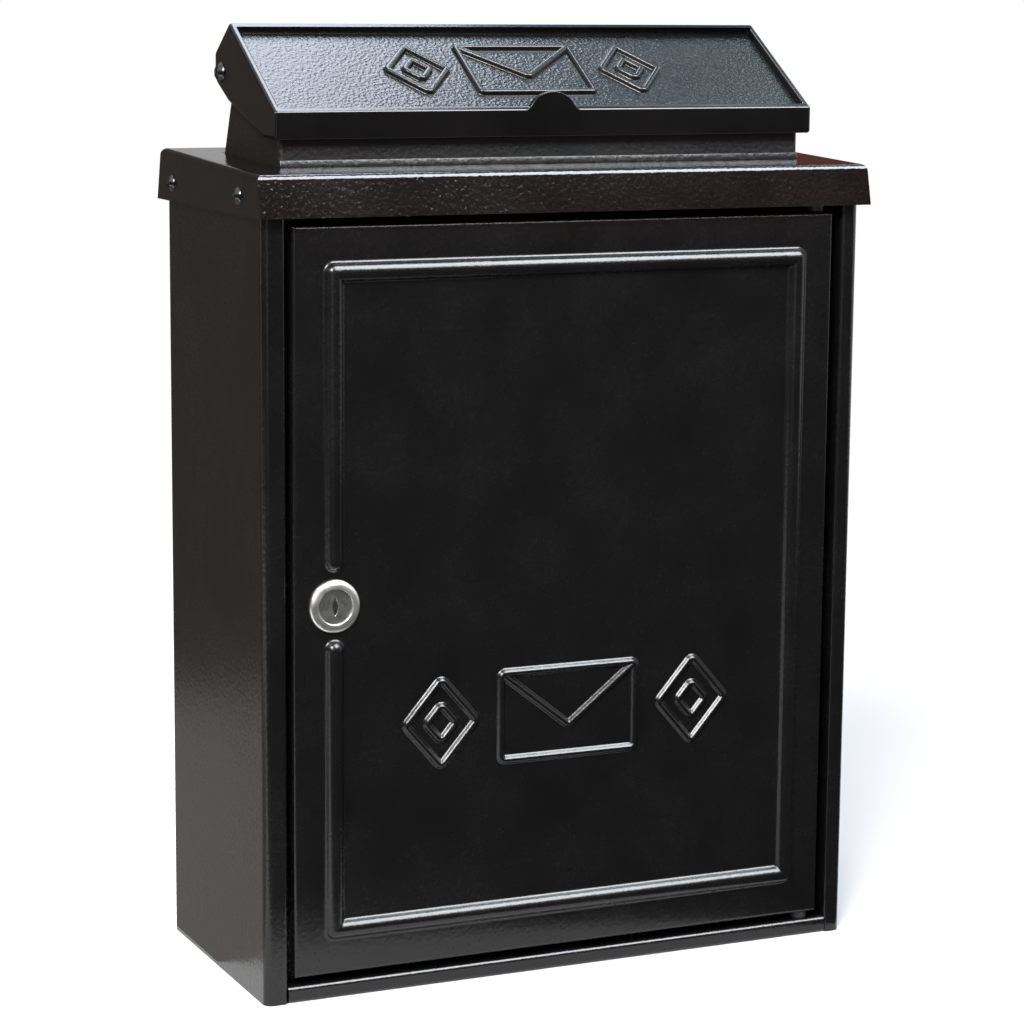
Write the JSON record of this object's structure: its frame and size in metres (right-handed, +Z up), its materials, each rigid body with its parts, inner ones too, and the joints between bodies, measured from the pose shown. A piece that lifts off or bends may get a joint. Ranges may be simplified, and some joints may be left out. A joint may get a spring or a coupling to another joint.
{
  "type": "letter box",
  "caption": "Wall letter box with a hinged front door and cam lock, an overhanging roof tray and a sloped hinged lid over the letter chute.",
  "frame": {"origin": "centre of the cabinet's flat base", "axes": "+Z up, +Y towards the wall behind the box, the door and the letter lid face -Y, +X to the right as seen from the front"},
  "size_m": [0.2792, 0.1288, 0.3952],
  "materials": {
    "powder_coat": "black powder coat, fine hammered grain, semi-gloss",
    "lid_coat": "black powder coat over cast metal, coarse grain, semi-gloss",
    "black_screw": "black lacquered steel",
    "nickel": "satin nickel plate",
    "zinc": "bright zinc plate",
    "nylon": "black nylon"
  },
  "bodies": {
    "cabinet": {"cabinet_shell": "powder_coat", "floor_tray": "powder_coat", "head_rail": "powder_coat", "roof_tray": "powder_coat", "letter_chute": "powder_coat", "lid_pivot_screw_left": "black_screw", "lid_pivot_screw_right": "black_screw", "lid_pivot_washers": "nylon", "lid_pivot_nuts": "zinc", "roof_screws": "black_screw", "roof_rivet_nuts": "zinc"},
    "lid": {"lid": "lid_coat"},
    "door": {"door_panel": "powder_coat", "door_stiffener": "powder_coat", "hinge_pin_top": "zinc", "hinge_pin_bottom": "zinc", "hinge_spacers": "nylon", "lock_body": "nickel", "lock_washer": "zinc", "lock_nut": "zinc"},
    "lock_barrel": {"lock_plug": "nickel", "lock_cam": "zinc", "cam_washer": "zinc", "cam_screw": "zinc"}
  },
  "joints": [
    {"name": "lid_hinge", "type": "hinge", "parent": "cabinet", "child": "lid", "pos_m": [0, 0.0256, 0.3751], "axis": [-1, 0, 0], "range_deg": [0, 75]},
    {"name": "door_hinge", "type": "hinge", "parent": "cabinet", "child": "door", "pos_m": [0.1165, -0.053, 0.1641], "axis": [0, 0, 1], "range_deg": [0, 100]},
    {"name": "lock_turn", "type": "hinge", "parent": "door", "child": "lock_barrel", "pos_m": [-0.105, -0.059, 0.1645], "axis": [0, 1, 0], "range_deg": [0, 90]}
  ]
}
